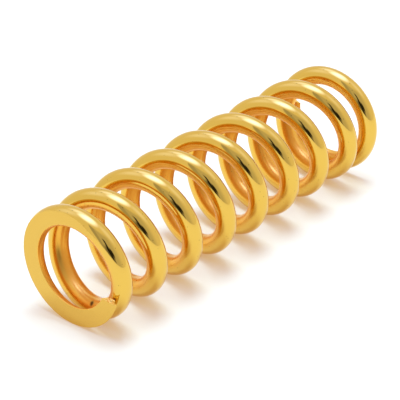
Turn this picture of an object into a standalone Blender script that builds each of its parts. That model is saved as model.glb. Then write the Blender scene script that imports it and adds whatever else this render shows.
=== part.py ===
"""A closed-and-ground coil compression spring, lying on its side on a flat surface.

Metres, +Z up. The coils wind about a line along +X, right-handed, from the near ground face (facing -X) to
the far one (facing +X). The origin is under the middle of the spring, on the surface it lies on.

The spring is one round wire. It is modelled as its two ground end coils and, between them, a row of
quarter-turn arcs, so that the coils can close up when the spring is pressed.
"""

import math

import bmesh
import bpy

# The wire and the coil it is wound into.
WIRE_DIAMETER = 0.0090
MEAN_COIL_DIAMETER = 0.0455
TOTAL_TURNS = 9.46
FIRST_TIP_DEG = 201.0  # where the near tip lies: 0 is +Y, 90 is up, 270 is the bottom

# How the coils close up towards each end, measured in turns from that end's tip.
PITCH = 0.0232  # between the open coils
END_PITCH = 0.0084  # beside the tip, where the last turn lies close to the next
RAMP_START_TURNS = 0.65
RAMP_END_TURNS = 1.27
TIP_THICKNESS = 0.00235  # what grinding leaves of the wire at its tip

# Where the wire is divided: the end coils take a whole turn or a little more, the arcs a quarter turn.
ARC_DEG = 90.0
NEAR_COIL_END_DEG = 585.0
FAR_COIL_START_DEG = 3195.0
SEAM_GAP = 0.0003
ARC_PLACES = ("bottom", "back", "top", "front")
FIRST_ARC_COIL = 2

# Facets. A flat facet faces straight down, so the spring rests on a row of them and doesn't roll.
FACET_DEG = 18.0
WIRE_SIDES = 12
CUTTER_SIZE = 0.08
SHARP_EDGE_DEG = 35.0

GOLD_PLATING = (0.93, 0.62, 0.16, 1.0)
PLATING_ROUGHNESS = 0.12

WIRE_RADIUS = WIRE_DIAMETER / 2
COIL_RADIUS = MEAN_COIL_DIAMETER / 2
AXIS_HEIGHT = COIL_RADIUS + WIRE_RADIUS
TIP_CENTRE = TIP_THICKNESS - WIRE_RADIUS
LAST_TIP_DEG = FIRST_TIP_DEG + 360 * TOTAL_TURNS


def clear_scene():
    for thing in list(bpy.data.objects):
        bpy.data.objects.remove(thing, do_unlink=True)


def rise(turns):
    """How far along the axis the wire's centre has moved, this many turns from a tip."""
    ramp = RAMP_END_TURNS - RAMP_START_TURNS
    step = min(max((turns - RAMP_START_TURNS) / ramp, 0.0), 1.0)
    steeper = ramp * (step**3 - step**4 / 2) + max(turns - RAMP_END_TURNS, 0.0)
    return END_PITCH * turns + (PITCH - END_PITCH) * steeper


FREE_LENGTH = 2 * (TIP_CENTRE + rise(TOTAL_TURNS / 2))


def distance_along(angle_deg):
    """The wire centre's distance from the near ground face, where the wire has wound this far."""
    turns = (angle_deg - FIRST_TIP_DEG) / 360
    if turns < TOTAL_TURNS / 2:
        return TIP_CENTRE + rise(turns)
    return FREE_LENGTH - TIP_CENTRE - rise(TOTAL_TURNS - turns)


def lead_angle(angle_deg):
    """How steeply the wire climbs along the axis."""
    step_deg = 0.5
    climb = distance_along(angle_deg + step_deg) - distance_along(angle_deg - step_deg)
    return math.atan2(climb, COIL_RADIUS * math.radians(2 * step_deg))


def facet_stretch(angle_deg):
    """Pushes the wire out so that each facet's middle, and not its ends, lies on the true circle."""
    facet_middle = FACET_DEG * round(angle_deg / FACET_DEG)
    return 1 / math.cos(math.radians(angle_deg - facet_middle))


def section_ring(angle_deg, origin_x):
    """The wire's outline in the plane through the coil axis at this angle, from a point on that axis."""
    angle = math.radians(angle_deg)
    centre_x = distance_along(angle_deg) - origin_x
    corner_radius = WIRE_RADIUS / math.cos(math.pi / WIRE_SIDES)
    along_axis = corner_radius / math.cos(lead_angle(angle_deg))
    ring = []
    for side in range(WIRE_SIDES):
        turn = 2 * math.pi * (side + 0.5) / WIRE_SIDES
        out = (COIL_RADIUS + corner_radius * math.cos(turn)) * facet_stretch(angle_deg)
        x = centre_x + along_axis * math.sin(turn)
        ring.append((x, out * math.cos(angle), out * math.sin(angle)))
    return ring


def stations_between(start_deg, end_deg):
    """The angles of the wire's rings: its two ends and every facet edge between them."""
    first = math.floor(start_deg / FACET_DEG + 0.5) + 0.5
    count = int((end_deg - start_deg) / FACET_DEG) + 2
    edges = [FACET_DEG * (first + number) for number in range(count)]
    least = FACET_DEG / 20
    inner = [edge for edge in edges if start_deg + least < edge < end_deg - least]
    return [start_deg] + inner + [end_deg]


def wire_mesh(name, start_deg, end_deg, origin_x):
    """A closed, capped length of the wire."""
    shape = bmesh.new()
    rings = []
    for angle_deg in stations_between(start_deg, end_deg):
        rings.append([shape.verts.new(point) for point in section_ring(angle_deg, origin_x)])
    for ring, next_ring in zip(rings, rings[1:]):
        for side in range(WIRE_SIDES):
            after = (side + 1) % WIRE_SIDES
            shape.faces.new((ring[side], next_ring[side], next_ring[after], ring[after]))
    shape.faces.new(rings[0])
    shape.faces.new(reversed(rings[-1]))
    bmesh.ops.recalc_face_normals(shape, faces=shape.faces)
    mesh = bpy.data.meshes.new(name)
    shape.to_mesh(mesh)
    shape.free()
    mesh.shade_smooth()
    mesh.set_sharp_from_angle(angle=math.radians(SHARP_EDGE_DEG))
    return mesh


def plating_material(name):
    material = bpy.data.materials.new(name)
    material.use_nodes = True
    shader = material.node_tree.nodes["Principled BSDF"]
    shader.inputs["Base Color"].default_value = GOLD_PLATING
    shader.inputs["Roughness"].default_value = PLATING_ROUGHNESS
    shader.inputs["Metallic"].default_value = 1.0
    material.diffuse_color = GOLD_PLATING
    return material


def add_wire(name, start_deg, end_deg, axis_line):
    """One length of the wire, with its origin on the coil axis, along which it slides."""
    middle = distance_along((start_deg + end_deg) / 2)
    seam_deg = math.degrees(SEAM_GAP / 2 / COIL_RADIUS)
    start = start_deg if start_deg == FIRST_TIP_DEG else start_deg + seam_deg
    end = end_deg if end_deg == LAST_TIP_DEG else end_deg - seam_deg
    wire = bpy.data.objects.new(name, wire_mesh(name, start, end, middle))
    wire.data.materials.append(plating_material(name + "_plating"))
    wire.parent = axis_line
    wire.location.x = middle
    bpy.context.collection.objects.link(wire)
    return wire


def grind_end(wire, face_x, outward, axis_line):
    """Cuts the wire off flat at a plane across the axis, as grinding does."""
    shape = bmesh.new()
    bmesh.ops.create_cube(shape, size=CUTTER_SIZE)
    mesh = bpy.data.meshes.new(wire.name + "_grinding")
    shape.to_mesh(mesh)
    shape.free()
    wheel = bpy.data.objects.new(mesh.name, mesh)
    wheel.parent = axis_line
    wheel.location.x = face_x + outward * CUTTER_SIZE / 2
    wheel.hide_render = True
    wheel.display_type = "WIRE"
    bpy.context.collection.objects.link(wheel)
    cut = wire.modifiers.new("ground_face", "BOOLEAN")
    cut.operation = "DIFFERENCE"
    cut.solver = "EXACT"
    cut.object = wheel


def add_axis_line():
    """The coil axis, from the middle of the near ground face: every length of wire hangs from it."""
    axis_line = bpy.data.objects.new("coil_axis", None)
    axis_line.location = (-FREE_LENGTH / 2, 0, AXIS_HEIGHT)
    bpy.context.collection.objects.link(axis_line)
    return axis_line


def add_arcs(axis_line):
    """The open coils, as quarter turns named by the coil they belong to and their place around it."""
    count = round((FAR_COIL_START_DEG - NEAR_COIL_END_DEG) / ARC_DEG)
    for number in range(count):
        coil, place = divmod(number, len(ARC_PLACES))
        name = f"coil_{FIRST_ARC_COIL + coil}_{ARC_PLACES[place]}"
        start_deg = NEAR_COIL_END_DEG + number * ARC_DEG
        add_wire(name, start_deg, start_deg + ARC_DEG, axis_line)


def main():
    clear_scene()
    axis_line = add_axis_line()
    near_end = add_wire("near_end_coil", FIRST_TIP_DEG, NEAR_COIL_END_DEG, axis_line)
    grind_end(near_end, 0.0, -1, axis_line)
    add_arcs(axis_line)
    far_end = add_wire("far_end_coil", FAR_COIL_START_DEG, LAST_TIP_DEG, axis_line)
    grind_end(far_end, FREE_LENGTH, 1, axis_line)


main()
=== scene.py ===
"""Looks for a gold-plated coil spring lying on its side: one smooth wire around the faceted frame.

Metres, in the frame's own axes: the coil axis runs along +X, and the spring lies on Z = 0.
The wire is drawn in lengths that meet in planes through the coil axis. Each length between the two ground
end coils runs from one arc of the frame to the next.
"""

import math

import bpy
import numpy as np
from mathutils import Matrix, Vector, noise


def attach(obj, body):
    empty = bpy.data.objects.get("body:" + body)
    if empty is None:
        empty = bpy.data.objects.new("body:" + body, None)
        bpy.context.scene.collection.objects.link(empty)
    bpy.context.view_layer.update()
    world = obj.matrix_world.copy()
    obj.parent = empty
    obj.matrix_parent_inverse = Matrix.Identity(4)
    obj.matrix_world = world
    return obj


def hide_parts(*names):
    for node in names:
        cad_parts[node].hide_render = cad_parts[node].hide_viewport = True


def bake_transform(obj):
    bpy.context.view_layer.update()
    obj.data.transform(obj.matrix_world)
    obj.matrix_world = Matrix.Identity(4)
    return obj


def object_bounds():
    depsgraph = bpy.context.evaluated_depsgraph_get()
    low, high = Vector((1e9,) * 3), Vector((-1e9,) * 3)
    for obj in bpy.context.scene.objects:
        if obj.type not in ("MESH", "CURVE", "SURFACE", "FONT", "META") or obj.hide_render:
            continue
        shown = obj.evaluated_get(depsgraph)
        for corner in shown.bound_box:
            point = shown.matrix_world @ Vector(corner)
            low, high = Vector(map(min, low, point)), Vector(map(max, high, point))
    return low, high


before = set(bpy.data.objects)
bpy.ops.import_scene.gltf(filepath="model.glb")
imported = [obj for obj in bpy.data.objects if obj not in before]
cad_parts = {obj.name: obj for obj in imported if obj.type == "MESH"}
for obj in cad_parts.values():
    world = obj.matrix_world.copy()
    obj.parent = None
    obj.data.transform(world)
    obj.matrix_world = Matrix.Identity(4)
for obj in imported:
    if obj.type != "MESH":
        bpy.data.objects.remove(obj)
cad_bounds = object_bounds()

# The wire and its coil, as in the frame. Angles are about the coil axis: 0 is +Y, 90 is up, 180 is -Y.
WIRE_RADIUS = 0.0045
COIL_RADIUS = 0.02275
AXIS_HEIGHT = COIL_RADIUS + WIRE_RADIUS
TOTAL_TURNS = 9.46
FIRST_TIP_DEG = 201.0
LAST_TIP_DEG = FIRST_TIP_DEG + 360 * TOTAL_TURNS
PITCH = 0.0232
END_PITCH = 0.0084
RAMP_START_TURNS = 0.65
RAMP_END_TURNS = 1.27
TIP_THICKNESS = 0.00235
TIP_CENTRE = TIP_THICKNESS - WIRE_RADIUS
FREE_LENGTH = cad_bounds[1][0] - cad_bounds[0][0]
TURN_LENGTH = 2 * math.pi * COIL_RADIUS

# The frame's arcs: each length of wire between the end coils runs from one arc's middle to the next one's.
ARC_DEG = 90.0
FIRST_ARC_MIDDLE_DEG = 630.0
LAST_ARC_MIDDLE_DEG = 3150.0
ARC_PLACES = ("bottom", "back", "top", "front")
FIRST_ARC_COIL = 2

# How finely the wire is drawn. LEAN_STEP and SLOPE_STEP are the steps, in turns, over which its lean and
# its line are taken. Points become one where they agree to WELD and their normals to 1 in NORMAL_STEPS.
STATION_TURNS = 1 / 120
BACK_STEPS = 56
FLAT_STEPS = 12
EDGE_STEPS = 5
EDGE_RADIUS = 0.00025
LEAN_STEP = 1e-3
SLOPE_STEP = 1e-4
WELD = 1e-7
NORMAL_STEPS = 100

# The wire's tips, where it was cropped: a slanting, broken face whose relief fades into the round wire. The
# stations crowd towards it. Its closing rings are shares of its rim, and each tip has a seed for its grain.
TIP_REACH_TURNS = 0.032
TIP_STATIONS = 18
TIP_CROWDING = 1.5
TIP_SLANT = math.radians(3.2)
TIP_LEAN = 0.2
TIP_RELIEF = 0.00032
TIP_GRAIN = 0.0008
TIP_RINGS = (1.0, 0.9, 0.78, 0.64, 0.48, 0.3, 0.12)
NEAR_TIP_SEED = 1.5
FAR_TIP_SEED = 7.5

# The slots of the wire's materials.
PLATING_SLOT = 0
GROUND_SLOT = 1
TORN_SLOT = 2


# ---------------------------------------------------------------- the wire's line


def rise(turns):
    """How far along the axis the wire's centre has moved, this many turns from a tip."""
    ramp = RAMP_END_TURNS - RAMP_START_TURNS
    step = np.clip((turns - RAMP_START_TURNS) / ramp, 0.0, 1.0)
    steeper = ramp * (step**3 - step**4 / 2) + np.maximum(turns - RAMP_END_TURNS, 0.0)
    return END_PITCH * turns + (PITCH - END_PITCH) * steeper


def distance_along(turns):
    """The wire centre's distance from one ground face, this many turns from that end's tip."""
    near = TIP_CENTRE + rise(turns)
    far = FREE_LENGTH - TIP_CENTRE - rise(TOTAL_TURNS - turns)
    return np.where(turns < TOTAL_TURNS / 2, near, far)


def axial_stretch(turns):
    """A leaning round wire is this much longer than wide, in a plane through the coil axis."""
    climb = distance_along(turns + LEAN_STEP) - distance_along(turns - LEAN_STEP)
    return np.hypot(1.0, climb / (2 * LEAN_STEP * TURN_LENGTH))


# ---------------------------------------------------------------- the wire's surface


def outline(depth):
    """The wire's outline where the ground plane lies this far from its centre: one row for each depth.

    It goes round by the flat, an edge, the round back and the other edge. Each point is at a radius from a
    centre, in its normal's direction: 0 faces the plane, and a quarter turn faces out from the coil axis.
    Returns each point's offset out, its offset towards the plane, and that direction.
    """
    depth = np.minimum(depth, WIRE_RADIUS)[:, None]
    to_centre = depth - EDGE_RADIUS
    half_flat = np.sqrt((WIRE_RADIUS - EDGE_RADIUS) ** 2 - to_centre**2)
    tangent = np.arctan2(half_flat, to_centre)
    flat = np.linspace(-1, 1, FLAT_STEPS + 1)
    edge = np.arange(1, EDGE_STEPS + 1) / EDGE_STEPS
    back = np.arange(1, BACK_STEPS) / BACK_STEPS
    round_back = tangent + (2 * math.pi - 2 * tangent) * back
    direction = np.hstack([0 * tangent * flat, tangent * edge, round_back, -tangent * edge[::-1]])
    sideways = np.hstack([flat, 0 * edge + 1, 0 * back, 0 * edge - 1])
    on_back = np.hstack([0 * flat, 0 * edge, 0 * back + 1, 0 * edge])
    radius = np.where(on_back, WIRE_RADIUS, EDGE_RADIUS)
    out = half_flat * sideways + radius * np.sin(direction)
    towards = to_centre * (1 - on_back) + radius * np.cos(direction)
    return out, towards, direction


def tip_offset(out, towards, seed):
    """How far round the coil the broken face of a tip lies from its nominal place, in radians."""
    spots = zip(out.ravel() / TIP_GRAIN, towards.ravel() / TIP_GRAIN)
    grain = [noise.noise(Vector((*spot, seed))) for spot in spots]
    relief = TIP_RELIEF / COIL_RADIUS * np.reshape(grain, out.shape)
    lean = TIP_LEAN * (towards - TIP_CENTRE) / COIL_RADIUS
    return relief + lean - TIP_SLANT * out / WIRE_RADIUS


def place(turns, out, towards, stretch, from_far, shift=0.0):
    """World points of the wire: a row of offsets for each number of turns from the near or the far tip."""
    along = distance_along(turns)[:, None] - towards * stretch[:, None]
    angle = 2 * math.pi * turns[:, None] + shift
    if from_far:
        along = FREE_LENGTH - along
        angle = math.radians(LAST_TIP_DEG) - angle
    else:
        angle = math.radians(FIRST_TIP_DEG) + angle
    reach = COIL_RADIUS + out
    x = along - FREE_LENGTH / 2
    return np.stack([x + 0 * angle, reach * np.cos(angle), AXIS_HEIGHT + reach * np.sin(angle)], axis=-1)


def points_at(turns, from_far, seed):
    """World points of the wire's outline at each station. The tip's relief fades into the round wire."""
    stretch = axial_stretch(turns)
    out, towards, _ = outline(distance_along(turns) / stretch)
    fade = np.clip(1 - turns / TIP_REACH_TURNS, 0, 1)[:, None] ** 2
    shift = 0 * out
    broken = fade[:, 0] > 0
    shift[broken] = fade[broken] * tip_offset(out[broken], towards[broken], seed)
    return place(turns, out, towards, stretch, from_far, shift)


def wire_surface(turns, from_far=False, seed=0.0):
    """Points, outward normals and places within the wire, a row for each station."""
    points = points_at(turns, from_far, seed)
    ahead = points_at(turns + SLOPE_STEP, from_far, seed)
    lengthwise = ahead - points_at(turns - SLOPE_STEP, from_far, seed)
    stretch = axial_stretch(turns)
    out, towards, direction = outline(distance_along(turns) / stretch)
    spin = -1 if from_far else 1
    angle = spin * 2 * math.pi * turns + math.radians(LAST_TIP_DEG if from_far else FIRST_TIP_DEG)
    outwards = np.stack([0 * angle, np.cos(angle), np.sin(angle)], axis=-1)[:, None]
    axis = np.array([spin, 0, 0])
    around = np.cos(direction)[..., None] * outwards
    around = around + (np.sin(direction) * stretch[:, None])[..., None] * axis
    normals = np.cross(lengthwise, around)
    normals /= np.linalg.norm(normals, axis=-1, keepdims=True)
    from_near = TOTAL_TURNS - turns if from_far else turns
    within = np.stack([out, spin * towards, TURN_LENGTH * from_near[:, None] + 0 * out], axis=-1)
    return points, normals, within


def tip_surface(from_far, seed):
    """The broken face that closes the wire at its tip: rings of points from its rim to its middle."""
    start = np.zeros(1)
    stretch = axial_stretch(start)
    out, towards, _ = outline(distance_along(start) / stretch)
    middle_out, middle_towards = out.mean(), towards.mean()
    rings = np.array(TIP_RINGS)[:, None]
    out = middle_out + rings * (out - middle_out)
    towards = middle_towards + rings * (towards - middle_towards)
    stations = np.zeros(len(rings))
    shift = tip_offset(out, towards, seed)
    points = place(stations, out, towards, axial_stretch(stations), from_far, shift)
    length = TURN_LENGTH * TOTAL_TURNS if from_far else 0
    within = np.stack([out, -towards if from_far else towards, 0 * out + length], axis=-1)
    return points, within


def quads(rows, columns):
    """Faces between neighbouring rows of points, where each row closes on itself."""
    row, column = np.meshgrid(np.arange(rows - 1), np.arange(columns), indexing="ij")
    after = (column + 1) % columns
    corners = [row * columns + column, (row + 1) * columns + column]
    corners += [(row + 1) * columns + after, row * columns + after]
    return np.stack(corners, axis=-1).reshape(-1, 4)


# ---------------------------------------------------------------- pieces


def corner_normals(points, faces):
    """A normal for each point, from the faces that meet there."""
    normals = np.zeros_like(points)
    for face in faces:
        corners = points[list(face)]
        across = np.cross(corners[2] - corners[0], corners[-1] - corners[1])
        normals[list(face)] += across
    return normals / np.maximum(np.linalg.norm(normals, axis=1, keepdims=True), 1e-12)


def make_piece(name, points, normals, within, faces, kinds, materials):
    """A mesh of these faces, with points that coincide and face the same way made one."""
    key = np.round(np.hstack([points / WELD, normals * NORMAL_STEPS])).astype(np.int64)
    _, first, index = np.unique(key, axis=0, return_index=True, return_inverse=True)
    index = index.reshape(-1)
    outlines = [list(dict.fromkeys(int(index[corner]) for corner in face)) for face in faces]
    kept = [number for number, face in enumerate(outlines) if len(face) > 2]
    mesh = bpy.data.meshes.new(name)
    mesh.from_pydata(points[first].tolist(), [], [outlines[number] for number in kept])
    mesh.polygons.foreach_set("material_index", [kinds[number] for number in kept])
    mesh.shade_smooth()
    mesh.normals_split_custom_set_from_vertices(normals[first].tolist())
    attribute = mesh.attributes.new("wire_place", "FLOAT_VECTOR", "POINT")
    attribute.data.foreach_set("vector", within[first].astype(np.float32).ravel())
    for material in materials:
        mesh.materials.append(material)
    piece = bpy.data.objects.new(name, mesh)
    bpy.context.scene.collection.objects.link(piece)
    return piece


def stations_between(start, end):
    count = max(2, round((end - start) / STATION_TURNS)) + 1
    return np.linspace(start, end, count)


def end_wire(name, end_turns, from_far, seed, materials):
    """A ground end coil, from its tip to where it joins the open coils."""
    tip = TIP_REACH_TURNS * np.linspace(0, 1, TIP_STATIONS, endpoint=False) ** TIP_CROWDING
    turns = np.concatenate([tip, stations_between(TIP_REACH_TURNS, end_turns)])
    points, normals, within = wire_surface(turns, from_far, seed)
    columns = points.shape[1]
    faces = quads(len(turns), columns)
    on_flat = np.arange(len(faces)) % columns < FLAT_STEPS
    kinds = np.where(on_flat, GROUND_SLOT, PLATING_SLOT)

    tip_points, tip_within = tip_surface(from_far, seed)
    tip_points = tip_points.reshape(-1, 3)
    tip_faces = quads(len(TIP_RINGS), columns)[:, ::-1]
    inner = (len(TIP_RINGS) - 1) * columns
    middle = list(range(inner + columns - 1, inner - 1, -1))
    tip_faces = [*tip_faces.tolist(), middle]
    tip_normals = corner_normals(tip_points, tip_faces)

    first = points.size // 3
    every_face = faces.tolist() + [[first + corner for corner in face] for face in tip_faces]
    every_kind = kinds.tolist() + [TORN_SLOT] * len(tip_faces)
    return make_piece(
        name,
        np.vstack([points.reshape(-1, 3), tip_points]),
        np.vstack([normals.reshape(-1, 3), tip_normals]),
        np.vstack([within.reshape(-1, 3), tip_within.reshape(-1, 3)]),
        every_face,
        every_kind,
        materials,
    )


def open_wire(name, start_deg, end_deg, materials):
    """A length of the open coils."""
    start, end = ((angle - FIRST_TIP_DEG) / 360 for angle in (start_deg, end_deg))
    turns = stations_between(start, end)
    points, normals, within = wire_surface(turns)
    faces = quads(len(turns), points.shape[1])
    parts = (points.reshape(-1, 3), normals.reshape(-1, 3), within.reshape(-1, 3))
    return make_piece(name, *parts, faces, [PLATING_SLOT] * len(faces), materials)


def add_wire(materials):
    """The whole wire: the end coils ride on their bodies, and the lengths between them stay where they are
    drawn.
    """
    near_turns = (FIRST_ARC_MIDDLE_DEG - FIRST_TIP_DEG) / 360
    near = end_wire("near_end_wire", near_turns, False, NEAR_TIP_SEED, materials)
    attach(near, "near_end")
    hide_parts("near_end_coil", "coil_2_bottom")

    count = round((LAST_ARC_MIDDLE_DEG - FIRST_ARC_MIDDLE_DEG) / ARC_DEG)
    for number in range(1, count + 1):
        coil, arc = divmod(number, len(ARC_PLACES))
        body = f"coil_{FIRST_ARC_COIL + coil}_{ARC_PLACES[arc]}"
        end_deg = FIRST_ARC_MIDDLE_DEG + number * ARC_DEG
        wire = open_wire(body + "_wire", end_deg - ARC_DEG, end_deg, materials[:1])
        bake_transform(wire)
        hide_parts(body)

    far_turns = (LAST_TIP_DEG - LAST_ARC_MIDDLE_DEG) / 360
    far = end_wire("far_end_wire", far_turns, True, FAR_TIP_SEED, materials)
    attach(far, "far_end")
    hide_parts("far_end_coil")


# ---------------------------------------------------------------- materials

# The plating's tones: polished outside the coil; warmer inside it, a painted reflection of the gold's
# orange light bouncing between the coils; ground flat; and torn at the tips, brighter partly as a painted
# glint.
POLISHED = ((0.775, 0.495, 0.093), (0.755, 0.47, 0.083))
# The inside tone is warmer than the outside one: a painted reflection of light bouncing between the coils.
INSIDE_TONE_WITH_PAINTED_BOUNCE = ((0.87, 0.45, 0.064), (0.84, 0.425, 0.056))
GROUND = ((0.745, 0.465, 0.09), (0.705, 0.425, 0.075))
# The torn tip's gold is brighter than the plating's: partly a painted glint.
TORN_WITH_PAINTED_GLINT = ((0.95, 0.66, 0.13), (0.9, 0.56, 0.09))

# How rough each surface is. The haze is a factor on the plating's roughness, from its clear patches to its
# dull ones.
POLISHED_ROUGHNESS = 0.06
UNPOLISHED_ROUGHNESS = 0.32
PLATING_HAZE = (0.85, 1.2)
GROUND_ROUGHNESS = (0.14, 0.2)
TORN_ROUGHNESS = (0.16, 0.3)
TABLE_ROUGHNESS = 0.9

# The offset out from the wire's centre at which the satin inner side, with its painted warm reflection,
# starts to show, and where it is full.
SATIN_START = 0.25 * WIRE_RADIUS
SATIN_FULL = -0.5 * WIRE_RADIUS

# The values of a noise between which a patch goes from one extreme to the other.
NOISE_SPREAD = (0.3, 0.7)
HAZE_SPREAD = (0.3, 0.75)

# Features to the metre, twice across the wire and then along it.
TONE_PATCHES = (120, 120, 30)
HAZE_PATCHES = (260, 260, 60)
DRAW_LINES = (5200, 5200, 90)
ORANGE_PEEL = (420, 420, 330)

# Features to the metre, along X, Y and Z or in all directions.
GRINDING_LINES = (1, 260, 5200)
GROUND_HAZE = 300.0
TORN_GRAIN = 1900.0
TABLE_MOTTLE = 60.0
PINHOLES = 420.0

# Each relief's height in metres, and how strongly it shows.
DRAW_LINE_RELIEF = (1e-6, 0.08)
PEEL_RELIEF = (4e-6, 0.4)
GRINDING_RELIEF = (2e-6, 0.25)
TORN_RELIEF = (8e-5, 0.8)
TABLE_RELIEF = (1e-4, 0.2)

# Pinholes: their dark core and their rim, as shares of their spacing, and how much of the gold shows there.
PINHOLE_CORE = 0.05
PINHOLE_RIM = 0.09
PINHOLE_TONE = 0.35

# A dark patch of painted shade inside the second coil, near its lowest point: its offset out, its offset
# towards the near end, and how far it lies along the wire. Then come its reach, the share of that which is
# darkest, and how much of the gold shows there.
SHADE_PATCH = (-0.0034, 0.0030, 0.1650)
SHADE_PATCH_REACH = 0.0019
SHADE_PATCH_CORE = 0.2
SHADE_PATCH_TONE = 0.12


def add_node(tree, kind, inputs=None, **settings):
    """A node with these settings, its inputs given by name or number, as values or as sockets to link."""
    node = tree.nodes.new(kind)
    for setting, value in settings.items():
        setattr(node, setting, value)
    for key, value in (inputs or {}).items():
        if isinstance(value, bpy.types.NodeSocket):
            tree.links.new(value, node.inputs[key])
        else:
            node.inputs[key].default_value = value
    return node


def calculate(tree, operation, *values):
    node = add_node(tree, "ShaderNodeMath", dict(enumerate(values)), operation=operation)
    return node.outputs[0]


def ramp(tree, value, start, end, low=0.0, high=1.0):
    """A smooth climb from low to high while value goes from start to end."""
    inputs = {"Value": value, "From Min": start, "From Max": end, "To Min": low, "To Max": high}
    node = add_node(tree, "ShaderNodeMapRange", inputs, interpolation_type="SMOOTHSTEP")
    return node.outputs["Result"]


def blended(tree, share, under, over):
    """under where share is 0, over where it is 1."""
    inputs = {"Value": share, "To Min": under, "To Max": over}
    return add_node(tree, "ShaderNodeMapRange", inputs).outputs["Result"]


def noise_at(tree, vector, scale=1.0, detail=2.0, roughness=0.5):
    inputs = {"Vector": vector, "Scale": scale, "Detail": detail, "Roughness": roughness}
    return add_node(tree, "ShaderNodeTexNoise", inputs).outputs["Fac"]


def stretched(tree, vector, scale):
    inputs = {"Vector": vector, "Scale": scale}
    return add_node(tree, "ShaderNodeMapping", inputs).outputs["Vector"]


def bumped(tree, height, distance, strength, normal=None):
    inputs = {"Height": height, "Distance": distance, "Strength": strength}
    if normal is not None:
        inputs["Normal"] = normal
    return add_node(tree, "ShaderNodeBump", inputs).outputs["Normal"]


def new_material(name):
    material = bpy.data.materials.new(name)
    material.use_nodes = True
    return material, material.node_tree, material.node_tree.nodes["Principled BSDF"]


def tinted(tree, share, under, over):
    """One colour where share is 0, the other where it is 1."""
    mix = add_node(tree, "ShaderNodeMix", {"Factor": share}, data_type="RGBA")
    for key, colour in (("A", under), ("B", over)):
        if isinstance(colour, bpy.types.NodeSocket):
            tree.links.new(colour, mix.inputs[key])
        else:
            mix.inputs[key].default_value = (*colour, 1)
    return mix.outputs["Result"]


def mottled(tree, place_in_wire, tones):
    """Gold that deepens a little in slow patches along the wire."""
    patches = noise_at(tree, stretched(tree, place_in_wire, TONE_PATCHES))
    return tinted(tree, patches, *tones)


def wire_place(tree):
    """The offset out from the wire's centre, the offset towards the near end, and the length along it."""
    return add_node(tree, "ShaderNodeAttribute", attribute_name="wire_place").outputs["Vector"]


def world_place(tree):
    return add_node(tree, "ShaderNodeNewGeometry").outputs["Position"]


def painted_shade_patch(tree, place_in_wire):
    """How much of the gold shows around the painted shade patch: least at its middle, 1 beyond its reach.
    """
    away = add_node(tree, "ShaderNodeVectorMath", {0: place_in_wire, 1: SHADE_PATCH}, operation="DISTANCE")
    core = SHADE_PATCH_CORE * SHADE_PATCH_REACH
    return ramp(tree, away.outputs["Value"], core, SHADE_PATCH_REACH, SHADE_PATCH_TONE, 1.0)


def plating():
    """Bright plating on drawn wire: a near mirror outside the coil, satin inside it with a warmer tone that
    is painted reflection, with dark pinholes and a dark patch of painted shade.
    """
    material, tree, shader = new_material("gold_plating")
    at = wire_place(tree)
    shader.inputs["Metallic"].default_value = 1.0
    out = add_node(tree, "ShaderNodeSeparateXYZ", {0: at}).outputs["X"]
    # Inside the coil the plating turns satin, and its tone warmer: that warmth is a painted reflection of
    # light bouncing between the coils.
    satin_and_painted_bounce = ramp(tree, out, SATIN_START, SATIN_FULL)
    tone = tinted(tree, satin_and_painted_bounce, mottled(tree, at, POLISHED), mottled(tree, at, INSIDE_TONE_WITH_PAINTED_BOUNCE))
    spots = add_node(tree, "ShaderNodeTexVoronoi", {"Vector": at, "Scale": PINHOLES})
    pitted = ramp(tree, spots.outputs["Distance"], PINHOLE_CORE, PINHOLE_RIM, PINHOLE_TONE, 1.0)
    # A dark patch painted inside the second coil near its lowest point: painted shade.
    shaded = painted_shade_patch(tree, at)
    darkened = add_node(tree, "ShaderNodeVectorMath", {0: tone}, operation="SCALE")
    tree.links.new(calculate(tree, "MINIMUM", pitted, shaded), darkened.inputs["Scale"])
    tree.links.new(darkened.outputs["Vector"], shader.inputs["Base Color"])

    gloss = blended(tree, satin_and_painted_bounce, POLISHED_ROUGHNESS, UNPOLISHED_ROUGHNESS)
    haze = noise_at(tree, stretched(tree, at, HAZE_PATCHES), detail=3.0)
    gloss = calculate(tree, "MULTIPLY", gloss, ramp(tree, haze, *HAZE_SPREAD, *PLATING_HAZE))
    tree.links.new(gloss, shader.inputs["Roughness"])

    lines = noise_at(tree, stretched(tree, at, DRAW_LINES))
    drawn = bumped(tree, lines, *DRAW_LINE_RELIEF)
    peel = noise_at(tree, stretched(tree, at, ORANGE_PEEL), detail=1.0)
    height, most = PEEL_RELIEF
    strength = blended(tree, satin_and_painted_bounce, most, 0.0)
    tree.links.new(bumped(tree, peel, height, strength, drawn), shader.inputs["Normal"])
    return material


def ground_face():
    """The ground end face, plated too: satin, with the fine lines that the grinding wheel left."""
    material, tree, shader = new_material("ground_face")
    shader.inputs["Metallic"].default_value = 1.0
    tree.links.new(mottled(tree, wire_place(tree), GROUND), shader.inputs["Base Color"])
    world = world_place(tree)
    haze = noise_at(tree, world, GROUND_HAZE, detail=3.0)
    tree.links.new(ramp(tree, haze, *NOISE_SPREAD, *GROUND_ROUGHNESS), shader.inputs["Roughness"])
    lines = noise_at(tree, stretched(tree, world, GRINDING_LINES), detail=3.0)
    tree.links.new(bumped(tree, lines, *GRINDING_RELIEF), shader.inputs["Normal"])
    return material


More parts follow.
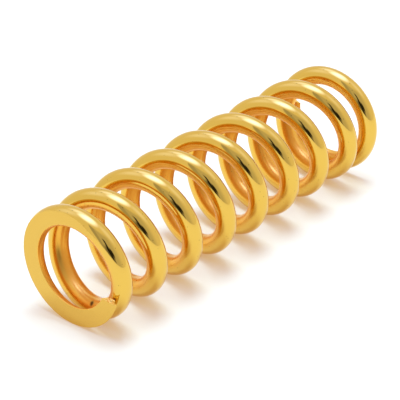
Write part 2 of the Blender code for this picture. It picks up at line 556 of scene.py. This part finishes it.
def broken_face():
    """The cropped tip: torn, grainy metal, plated over. Its gold is brighter than the rest of the plating,
    partly a painted glint.
    """
    material, tree, shader = new_material("cropped_tip")
    at = wire_place(tree)
    shader.inputs["Metallic"].default_value = 1.0
    # Brighter gold on the tip: partly a painted glint.
    tree.links.new(mottled(tree, at, TORN_WITH_PAINTED_GLINT), shader.inputs["Base Color"])
    grain = noise_at(tree, at, TORN_GRAIN, detail=4.0, roughness=0.6)
    tree.links.new(ramp(tree, grain, *NOISE_SPREAD, *TORN_ROUGHNESS), shader.inputs["Roughness"])
    tree.links.new(bumped(tree, grain, *TORN_RELIEF), shader.inputs["Normal"])
    return material


def floor_material():
    """A frosted white table that glows warmly by itself, a painted light, so that shadows on it stay pale
    and warm.
    """
    material, tree, shader = new_material("light_table")
    mottle = noise_at(tree, world_place(tree), TABLE_MOTTLE, detail=3.0)
    tree.links.new(bumped(tree, mottle, *TABLE_RELIEF), shader.inputs["Normal"])
    shader.inputs["Base Color"].default_value = (*FROSTED_WHITE, 1)
    shader.inputs["Roughness"].default_value = TABLE_ROUGHNESS
    shader.inputs["Specular IOR Level"].default_value = 0.0
    # The table glows though it is no lamp: painted warm light that keeps its shadows pale.
    shader.inputs["Emission Color"].default_value = (*PAINTED_TABLE_GLOW, 1)
    shader.inputs["Emission Strength"].default_value = 1.0
    return material


# ---------------------------------------------------------------- studio

FLOOR_RADIUS = 0.60
FLOOR_SIDES = 96
FROSTED_WHITE = (0.31, 0.42, 0.36)
# The table's own glow is painted light, though the table is no lamp: it keeps shadows on it pale and warm.
PAINTED_TABLE_GLOW = (0.52, 0.30, 0.15)

# The softbox over the table.
SOFTBOX_SIZE = 0.6
SOFTBOX_DISTANCE = 1.2
SOFTBOX_POWER = 17.0

# The room's light: a cool key overhead and on three soft panels, in a neutral room whose front is dim.
KEY = (2.2, 3.0, 9.3)
ROOM = (0.95, 0.95, 0.98)
DIM = (0.64, 0.66, 0.76)
DIMMEST = (0.48, 0.5, 0.6)
BLACK = (0.02, 0.02, 0.02)
WHITE = (1.0, 1.0, 1.0)

# The key, on a plane at unit height above the spring: its middle, its reach along X and Y, and the shares
# of that reach where it starts to fade and where it ends. A direction that rises less than KEY_LOWEST is
# taken to rise by that much on its way to the plane.
KEY_MIDDLE = (0.07, 0.09)
KEY_REACH = (0.65, 0.40)
KEY_CORE = 0.1
KEY_RIM = 1.2
KEY_LOWEST = 0.05

# The soft panels: azimuth, elevation and reach in degrees, and its share of the key's light.
PANELS = ((140, 61, 27, 0.40), (-155, 50, 30, 0.15), (46, 52, 30, 0.13))
PANEL_CORE_DEG = 2

# Parts of the room, each as its azimuths and its elevations, in degrees: from, to, and how far it fades
# before and after.
DIM_SIDE = ((-88, -25, 2, 55), (-90, 46, 1, 16))
DIMMEST_STRIP = ((-87, -77, 2, 6), (-90, 47, 1, 6))
STAND = ((-58, -50, 3, 3), (0, 33, 3, 4))
TROLLEY = ((-72, -44, 8, 8), (-90, 6, 1, 6))
TROLLEY_DARKNESS = 0.7

# Round dark things: azimuth, elevation, and the angles from there within which it is black and beyond which
# it is gone. The camera and its grip stand in front, and a small hook hangs behind the spring.
CAMERA_BODY = (-56, 8, 8, 15)
CAMERA_GRIP = (-42, 14, 5, 12)
HOOK = (170, 56.3, 0.7, 2.2)


def add_floor():
    mesh = bpy.data.meshes.new("floor")
    turns = [2 * math.pi * side / FLOOR_SIDES for side in range(FLOOR_SIDES)]
    rim = [(FLOOR_RADIUS * math.cos(turn), FLOOR_RADIUS * math.sin(turn), 0) for turn in turns]
    mesh.from_pydata(rim, [], [list(range(FLOOR_SIDES))])
    mesh.materials.append(floor_material())
    floor = bpy.data.objects.new("floor", mesh)
    bpy.context.scene.collection.objects.link(floor)


def add_lamp():
    """A softbox overhead that lights the table. It leaves no reflection of its own in the gold."""
    lamp = bpy.data.lights.new("softbox", "AREA")
    lamp.size = SOFTBOX_SIZE
    lamp.energy = SOFTBOX_POWER
    softbox = bpy.data.objects.new("softbox", lamp)
    towards = Vector((*KEY_MIDDLE, 1)).normalized()
    softbox.location = SOFTBOX_DISTANCE * towards
    softbox.rotation_euler = towards.to_track_quat("Z", "Y").to_euler()
    softbox.visible_glossy = False
    softbox.visible_camera = False
    bpy.context.scene.collection.objects.link(softbox)


def heading(azimuth_deg, elevation_deg):
    """The direction that lies this far round from -Y towards +X, and this far up."""
    azimuth, elevation = math.radians(azimuth_deg), math.radians(elevation_deg)
    flat = math.cos(elevation)
    return Vector((flat * math.sin(azimuth), -flat * math.cos(azimuth), math.sin(elevation)))


def disc(tree, direction, azimuth_deg, elevation_deg, inner_deg, outer_deg):
    """1 within inner_deg of a heading, fading to 0 at outer_deg."""
    towards = add_node(tree, "ShaderNodeVectorMath", {0: direction}, operation="DOT_PRODUCT")
    towards.inputs[1].default_value = heading(azimuth_deg, elevation_deg)
    away = calculate(tree, "ARCCOSINE", calculate(tree, "MINIMUM", towards.outputs["Value"], 1.0))
    return ramp(tree, away, math.radians(inner_deg), math.radians(outer_deg), 1.0, 0.0)


def span(tree, value, low, high, fade_in, fade_out):
    """1 while value is between low and high, in degrees, with a fade outside each."""
    low, high, fade_in, fade_out = (math.radians(angle) for angle in (low, high, fade_in, fade_out))
    opening = ramp(tree, value, low - fade_in, low)
    closing = ramp(tree, value, high, high + fade_out, 1.0, 0.0)
    return calculate(tree, "MULTIPLY", opening, closing)


def window(tree, azimuth, elevation, sides):
    """1 inside a part of the room, given as its azimuths and its elevations."""
    azimuths, elevations = sides
    across = span(tree, azimuth, *azimuths)
    return calculate(tree, "MULTIPLY", across, span(tree, elevation, *elevations))


def key_share(tree, direction, x, y, z):
    """How much of the key light comes from each direction."""
    above = calculate(tree, "MAXIMUM", z, KEY_LOWEST)
    across = [calculate(tree, "DIVIDE", side, above) for side in (x, y)]
    scaled = [
        calculate(tree, "DIVIDE", calculate(tree, "SUBTRACT", side, middle), reach)
        for side, middle, reach in zip(across, KEY_MIDDLE, KEY_REACH)
    ]
    squares = [calculate(tree, "MULTIPLY", side, side) for side in scaled]
    away = calculate(tree, "SQRT", calculate(tree, "ADD", *squares))
    share = ramp(tree, away, KEY_CORE, KEY_RIM, 1.0, 0.0)
    for azimuth_deg, elevation_deg, reach_deg, strength in PANELS:
        panel = disc(tree, direction, azimuth_deg, elevation_deg, PANEL_CORE_DEG, reach_deg)
        share = calculate(tree, "MAXIMUM", share, calculate(tree, "MULTIPLY", panel, strength))
    return share


def camera_shape(tree, direction, azimuth, elevation):
    """The dark camera, its stand and the trolley under them, against the room."""
    stand = window(tree, azimuth, elevation, STAND)
    trolley = window(tree, azimuth, elevation, TROLLEY)
    shape = calculate(tree, "MAXIMUM", stand, calculate(tree, "MULTIPLY", trolley, TROLLEY_DARKNESS))
    for part in (CAMERA_BODY, CAMERA_GRIP):
        shape = calculate(tree, "MAXIMUM", shape, disc(tree, direction, *part))
    return shape


def add_room():
    """A studio that lights the spring from all round and shows plain white behind it."""
    world = bpy.data.worlds.new("studio")
    world.use_nodes = True
    bpy.context.scene.world = world
    tree = world.node_tree
    direction = add_node(tree, "ShaderNodeTexCoord").outputs["Generated"]
    split = add_node(tree, "ShaderNodeSeparateXYZ", {0: direction})
    x, y, z = (split.outputs[axis] for axis in "XYZ")
    elevation = calculate(tree, "ARCSINE", z)
    azimuth = calculate(tree, "ARCTAN2", x, calculate(tree, "MULTIPLY", y, -1.0))

    light = tinted(tree, window(tree, azimuth, elevation, DIM_SIDE), ROOM, DIM)
    light = tinted(tree, window(tree, azimuth, elevation, DIMMEST_STRIP), light, DIMMEST)
    light = tinted(tree, camera_shape(tree, direction, azimuth, elevation), light, BLACK)
    light = tinted(tree, key_share(tree, direction, x, y, z), light, KEY)
    light = tinted(tree, disc(tree, direction, *HOOK), light, BLACK)
    seen = add_node(tree, "ShaderNodeLightPath").outputs["Is Camera Ray"]
    tree.links.new(tinted(tree, seen, light, WHITE), tree.nodes["Background"].inputs["Color"])


# The camera looks from along this heading at a point beside the middle of the spring, so far to its right
# and so far up in the picture. The distances are in metres, and the lens is in millimetres.
CAMERA_AZIMUTH_DEG = -50.72
CAMERA_ELEVATION_DEG = 28.72
CAMERA_DISTANCE = 0.7609
CAMERA_RIGHT = -0.00534
CAMERA_UP = -0.00635
CAMERA_LENS = 151.6


def add_camera():
    back = heading(CAMERA_AZIMUTH_DEG, CAMERA_ELEVATION_DEG)
    right = Vector((0, 0, 1)).cross(back).normalized()
    up = back.cross(right)
    centre = Vector((0, 0, AXIS_HEIGHT)) + CAMERA_RIGHT * right + CAMERA_UP * up
    camera = bpy.data.objects.new("camera", bpy.data.cameras.new("camera"))
    camera.data.lens = CAMERA_LENS
    turned = Matrix((right, up, back)).transposed().to_4x4()
    camera.matrix_world = Matrix.Translation(centre + CAMERA_DISTANCE * back) @ turned
    bpy.context.scene.collection.objects.link(camera)
    bpy.context.scene.camera = camera
    bpy.context.scene.view_settings.view_transform = "Standard"


add_camera()
add_wire([plating(), ground_face(), broken_face()])
add_floor()
add_lamp()
add_room()
